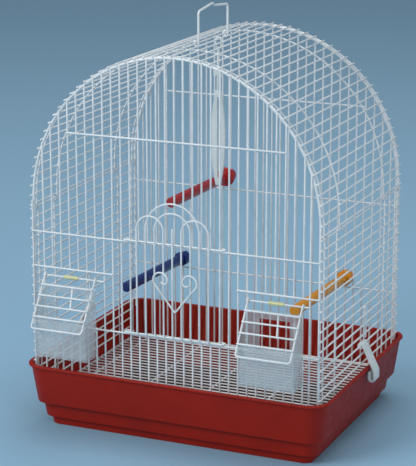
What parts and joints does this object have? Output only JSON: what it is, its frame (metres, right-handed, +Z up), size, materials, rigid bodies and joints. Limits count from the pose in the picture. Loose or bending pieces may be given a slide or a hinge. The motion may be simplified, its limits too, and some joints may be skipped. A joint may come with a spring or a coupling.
{
  "type": "bird cage",
  "caption": "Small wire bird cage with a barrel roof on a stepped moulded tray, with sliding door, feeder flaps, seed cups, perches and carrying handle.",
  "frame": {"origin": "centre of the tray's underside, which stands on the floor", "axes": "+Z up, +X along the cage's length to the right, the front with the door faces -Y"},
  "size_m": [0.3614, 0.3008, 0.4535],
  "materials": {
    "white_wire": "glossy plastic-coated steel wire",
    "red_tray": "moulded, semi-gloss",
    "clear_cup": "translucent moulded polystyrene",
    "white_plastic": "moulded",
    "cream_sleeve": "soft tube",
    "red_perch": "moulded",
    "blue_perch": "moulded",
    "orange_perch": "moulded"
  },
  "bodies": {
    "tray": {"base_tray": "red_tray"},
    "cage": {"body_foot_wire": "white_wire", "floor_grate_rods": "white_wire", "floor_grate_runners": "white_wire", "corner_uprights": "white_wire", "front_uprights": "white_wire", "back_uprights": "white_wire", "door_gap_uprights": "white_wire", "feeder_gap_uprights": "white_wire", "front_cross_wires": "white_wire", "back_cross_wires": "white_wire", "feeder_hinge_wires": "white_wire", "front_end_arch": "white_wire", "back_end_arch": "white_wire", "left_side_bars": "white_wire", "left_side_posts": "white_wire", "right_side_bars": "white_wire", "right_side_posts": "white_wire", "roof_bars": "white_wire", "roof_arch_front": "white_wire", "roof_arch_front_inner": "white_wire", "roof_arch_back_inner": "white_wire", "roof_arch_back": "white_wire", "hinge_sleeves": "cream_sleeve", "perch_red_flange": "red_perch", "perch_red_rod": "red_perch", "perch_red_knob": "red_perch", "perch_blue_head": "blue_perch", "perch_blue_rod": "blue_perch", "perch_orange_head": "orange_perch", "perch_orange_rod": "orange_perch", "clip_hairpins": "white_wire"},
    "door": {"door_hairpins": "white_wire", "door_middle_wire": "white_wire", "door_top_rail": "white_wire", "door_bottom_rail": "white_wire", "door_heart": "white_wire"},
    "flap_left": {"feeder_flap_left_frame": "white_wire", "feeder_flap_left_bars": "white_wire"},
    "flap_right": {"feeder_flap_right_frame": "white_wire", "feeder_flap_right_bars": "white_wire"},
    "cup_left": {"feeder_cup_left": "clear_cup"},
    "cup_right": {"feeder_cup_right": "clear_cup"},
    "handle": {"carry_handle": "white_wire"},
    "hanger": {"hanger_loop": "white_plastic", "hanger_leaf": "white_plastic"},
    "clip_left": {"tray_clip_left": "white_plastic"},
    "clip_right": {"tray_clip_right": "white_plastic"}
  },
  "joints": [
    {"name": "cage_lift", "type": "slide", "parent": "tray", "child": "cage", "axis": [0, 0, 1], "range_m": [0, 0.055]},
    {"name": "door_slide", "type": "slide", "parent": "cage", "child": "door", "axis": [0, 0, 1], "range_m": [0, 0.094]},
    {"name": "handle_fold", "type": "hinge", "parent": "cage", "child": "handle", "pos_m": [-0.01049, 0, 0.41471], "axis": [0, 1, 0], "range_deg": [-94, 58]},
    {"name": "hanger_swing", "type": "hinge", "parent": "cage", "child": "hanger", "pos_m": [0, -0.005, 0.41505], "axis": [0, 1, 0], "range_deg": [-25, 25]},
    {"name": "flap_left_swing", "type": "hinge", "parent": "cage", "child": "flap_left", "pos_m": [-0.11675, -0.12685, 0.172], "axis": [-1, 0, 0], "range_deg": [0, 115]},
    {"name": "cup_left_lift", "type": "slide", "parent": "cage", "child": "cup_left", "axis": [0, 0, 1], "range_m": [0, 0.004]},
    {"name": "clip_left_swing", "type": "hinge", "parent": "cage", "child": "clip_left", "pos_m": [-0.16345, 0.007, 0.0948], "axis": [0, 1, 0], "range_deg": [0, 90]},
    {"name": "flap_right_swing", "type": "hinge", "parent": "cage", "child": "flap_right", "pos_m": [0.11555, -0.12685, 0.172], "axis": [-1, 0, 0], "range_deg": [0, 115]},
    {"name": "cup_right_lift", "type": "slide", "parent": "cage", "child": "cup_right", "axis": [0, 0, 1], "range_m": [0, 0.004]},
    {"name": "clip_right_swing", "type": "hinge", "parent": "cage", "child": "clip_right", "pos_m": [0.16345, 0.007, 0.0948], "axis": [0, -1, 0], "range_deg": [0, 90]}
  ],
  "couplings": [
    {"joint": "cup_left_lift", "follows": "flap_left_swing", "m_per_rad": 0.00199},
    {"joint": "clip_left_swing", "follows": "cage_lift", "rad_per_m": 28.56},
    {"joint": "cup_right_lift", "follows": "flap_right_swing", "m_per_rad": 0.00199},
    {"joint": "clip_right_swing", "follows": "cage_lift", "rad_per_m": 28.56}
  ]
}
